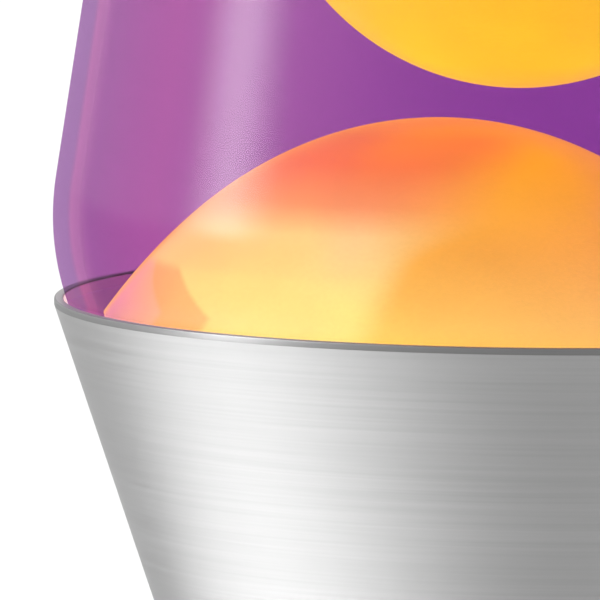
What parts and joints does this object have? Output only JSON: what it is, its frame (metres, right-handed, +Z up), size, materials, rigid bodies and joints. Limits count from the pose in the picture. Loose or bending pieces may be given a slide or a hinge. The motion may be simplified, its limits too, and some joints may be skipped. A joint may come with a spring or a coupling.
{
  "type": "lava lamp",
  "caption": "Table lamp: a sealed tapered glass globe of purple liquid and glowing yellow-orange wax, standing in a brushed two-cone metal base under a conical metal cap.",
  "frame": {"origin": "on the table, under the lamp's vertical axis", "axes": "+Z up along the lamp's axis, +X to the right seen from the front, +Y to the rear, where the cord inlet is"},
  "size_m": [0.114, 0.114, 0.368],
  "materials": {
    "brushed_cone": "fine horizontal brush lines, satin",
    "brushed_cap": "fine horizontal brush lines, satin",
    "rivet": "plain",
    "plate": "black enamel",
    "screw": "zinc plated",
    "foot_rubber": "matt",
    "grommet_rubber": "matt",
    "bracket_steel": "zinc plated",
    "porcelain": "glazed",
    "contact_brass": "plain",
    "solder": "dull",
    "bulb_clear": "clear",
    "bulb_cap": "bright",
    "bulb_black": "black glass",
    "lead_wire": "plain",
    "filament": "glowing",
    "globe_clear": "clear, polished",
    "liquid": "clear purple liquid",
    "wax": "soft glowing wax, yellow to orange",
    "spring_steel": "bright wire",
    "liner": "plain",
    "closure_metal": "gold lacquered"
  },
  "bodies": {
    "base": {"base_upper_cone": "brushed_cone", "base_lower_cone": "brushed_cone", "waist_rivets": "rivet", "bottom_plate": "plate", "plate_screws": "screw", "rubber_feet": "foot_rubber", "cord_grommet": "grommet_rubber", "socket_bracket": "bracket_steel", "socket_body": "porcelain", "socket_screws": "screw", "socket_screw_shell": "contact_brass", "socket_center_contact": "contact_brass", "terminal_screws": "contact_brass"},
    "bulb_tip": {"bulb_tip_contact": "solder"},
    "bulb": {"bulb_glass": "bulb_clear", "bulb_screw_base": "bulb_cap", "bulb_insulator": "bulb_black", "bulb_stem": "bulb_clear", "bulb_lead_wires": "lead_wire", "bulb_filament": "filament"},
    "globe": {"globe_glass": "globe_clear", "lamp_liquid": "liquid", "wax_mound": "wax", "coil_spring": "spring_steel", "closure_liner": "liner", "crown_closure": "closure_metal"},
    "wax_large": {"wax_blob_large": "wax"},
    "wax_medium": {"wax_blob_medium": "wax"},
    "wax_small": {"wax_blob_small": "wax"},
    "cap": {"top_cap": "brushed_cap"}
  },
  "joints": [
    {"name": "globe_lift", "type": "slide", "parent": "base", "child": "globe", "axis": [0, 0, 1], "range_m": [0, 0.07]},
    {"name": "cap_lift", "type": "slide", "parent": "globe", "child": "cap", "axis": [0, 0, 1], "range_m": [0, 0.06]},
    {"name": "bulb_rise", "type": "slide", "parent": "base", "child": "bulb_tip", "axis": [0, 0, 1], "range_m": [0, 0.0072]},
    {"name": "bulb_turn", "type": "hinge", "parent": "bulb_tip", "child": "bulb", "pos_m": [0, 0, 0.03], "axis": [0, 0, 1], "range_deg": [0, 900]},
    {"name": "wax_large_rise", "type": "slide", "parent": "globe", "child": "wax_large", "axis": [0, 0, 1], "range_m": [-0.002, 0.025], "deforming": ["lamp_liquid"]},
    {"name": "wax_medium_rise", "type": "slide", "parent": "globe", "child": "wax_medium", "axis": [0, 0, 1], "range_m": [0, 0.018], "deforming": ["lamp_liquid"]},
    {"name": "wax_small_rise", "type": "slide", "parent": "globe", "child": "wax_small", "axis": [0, 0, 1], "range_m": [0, 0.008], "deforming": ["lamp_liquid"]}
  ],
  "couplings": [
    {"joint": "bulb_rise", "follows": "bulb_turn", "m_per_rad": 0.00044882}
  ]
}
